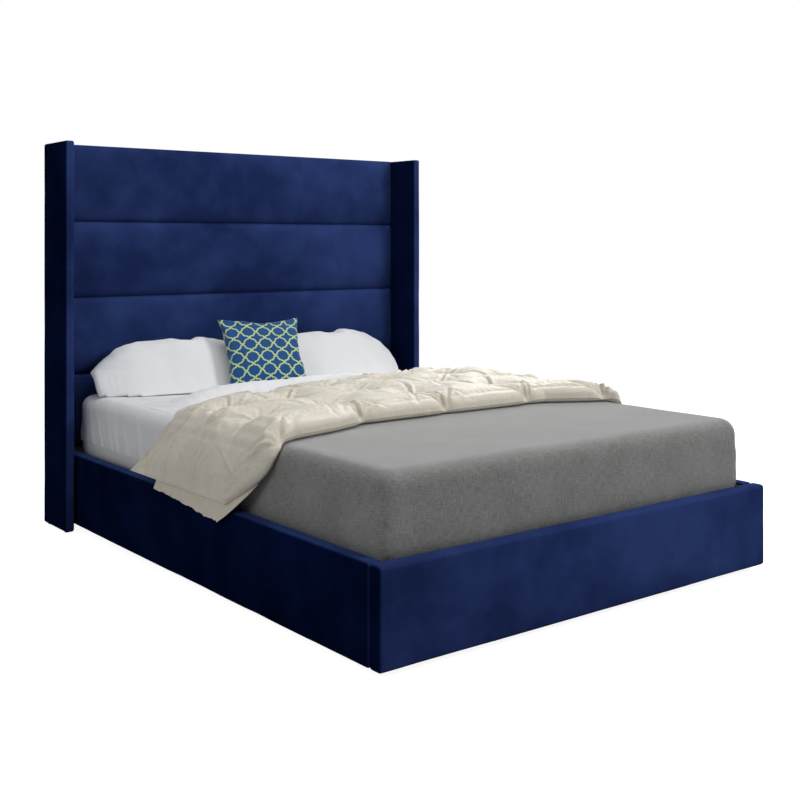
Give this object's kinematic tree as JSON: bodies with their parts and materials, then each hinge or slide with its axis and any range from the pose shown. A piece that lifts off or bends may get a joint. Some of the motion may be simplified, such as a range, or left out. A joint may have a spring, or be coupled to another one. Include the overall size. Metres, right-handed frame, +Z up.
{
  "type": "upholstered bed",
  "caption": "Upholstered wing-back bed with a channelled headboard, low padded rails, a lifting slatted platform over a storage well, mattress and bedding.",
  "frame": {"origin": "on the floor under the middle of the bed's outline", "axes": "+Y from the foot panel to the headboard, +Z up, X across the bed with +X on the right seen from the foot"},
  "size_m": [1.72, 2.134, 1.49],
  "materials": {
    "navy_velvet": "short-pile velvet",
    "plywood": "plain",
    "timber": "sawn pine",
    "zinc_steel": "zinc plated",
    "black_plastic": "matt",
    "floor_board": "smooth hardboard",
    "white_plastic": "matt",
    "rubber": "matt",
    "black_steel": "satin powder coat",
    "bright_steel": "polished",
    "beech": "laminated beech",
    "black_webbing": "woven webbing",
    "white_ticking": "knitted ticking",
    "white_cotton": "plain cotton",
    "grey_linen": "brushed linen look",
    "cream_satin": "pintucked satin",
    "blue_lattice": "printed cotton, lime quatrefoil lattice"
  },
  "bodies": {
    "bed_base": {"headboard_channel_1": "navy_velvet", "headboard_channel_2": "navy_velvet", "headboard_channel_3": "navy_velvet", "headboard_channel_4": "navy_velvet", "headboard_panel": "plywood", "headboard_battens": "timber", "headboard_back_cover": "navy_velvet", "headboard_bolts": "zinc_steel", "left_wing_board": "plywood", "right_wing_board": "plywood", "left_wing_cover": "navy_velvet", "right_wing_cover": "navy_velvet", "left_rail_board": "plywood", "right_rail_board": "plywood", "left_rail_cover": "navy_velvet", "right_rail_cover": "navy_velvet", "foot_board": "plywood", "foot_cover": "navy_velvet", "head_board": "plywood", "corner_brackets": "zinc_steel", "bracket_bolts": "zinc_steel", "glides": "black_plastic", "base_battens": "timber", "left_floor_panel": "floor_board", "right_floor_panel": "floor_board", "floor_joiner": "white_plastic", "rubber_buffers": "rubber", "left_lift_plate": "black_steel", "right_lift_plate": "black_steel", "lift_plate_screws": "zinc_steel", "lift_plate_pins": "zinc_steel"},
    "rear_arms": {"left_rear_arm": "black_steel", "right_rear_arm": "black_steel"},
    "front_arms": {"left_front_arm": "black_steel", "right_front_arm": "black_steel"},
    "gas_cylinders": {"left_gas_cylinder": "black_steel", "right_gas_cylinder": "black_steel"},
    "gas_rods": {"left_gas_rod": "bright_steel", "right_gas_rod": "bright_steel"},
    "platform": {"left_lift_bracket": "black_steel", "right_lift_bracket": "black_steel", "lift_bracket_pins": "zinc_steel", "platform_left_tube": "black_steel", "platform_right_tube": "black_steel", "platform_head_tube": "black_steel", "platform_foot_tube": "black_steel", "platform_centre_tube": "black_steel", "slat_holders": "black_plastic", "left_slats": "beech", "right_slats": "beech", "lift_strap": "black_webbing", "mattress": "white_ticking", "fitted_sheet": "white_cotton", "top_sheet": "white_cotton", "blanket": "grey_linen", "duvet": "cream_satin", "left_pillow": "white_cotton", "right_pillow": "white_cotton", "scatter_cushion": "blue_lattice"}
  },
  "joints": [
    {"name": "lift_swing", "type": "hinge", "parent": "bed_base", "child": "rear_arms", "pos_m": [0, 0.3, 0.088], "axis": [1, 0, 0], "range_deg": [0, 50]},
    {"name": "platform_tilt", "type": "hinge", "parent": "rear_arms", "child": "platform", "pos_m": [0, 0.61385, 0.18998], "axis": [1, 0, 0], "range_deg": [-76, 0]},
    {"name": "front_arm_swing", "type": "hinge", "parent": "bed_base", "child": "front_arms", "pos_m": [0, 0.174, 0.052], "axis": [1, 0, 0], "range_deg": [0, 44.75]},
    {"name": "strut_swing", "type": "hinge", "parent": "bed_base", "child": "gas_cylinders", "pos_m": [0, 0.5137, 0.0566], "axis": [1, 0, 0], "range_deg": [0, 48.58]},
    {"name": "rod_swing", "type": "hinge", "parent": "platform", "child": "gas_rods", "pos_m": [0, 0.70905, 0.21968], "axis": [1, 0, 0], "range_deg": [0, 74.58]}
  ],
  "couplings": [
    {"joint": "platform_tilt", "follows": "lift_swing", "ratio": -1.52},
    {"joint": "front_arm_swing", "follows": "lift_swing", "ratio": 0.895},
    {"joint": "strut_swing", "follows": "lift_swing", "ratio": 0.9716},
    {"joint": "rod_swing", "follows": "lift_swing", "ratio": 1.4916}
  ]
}
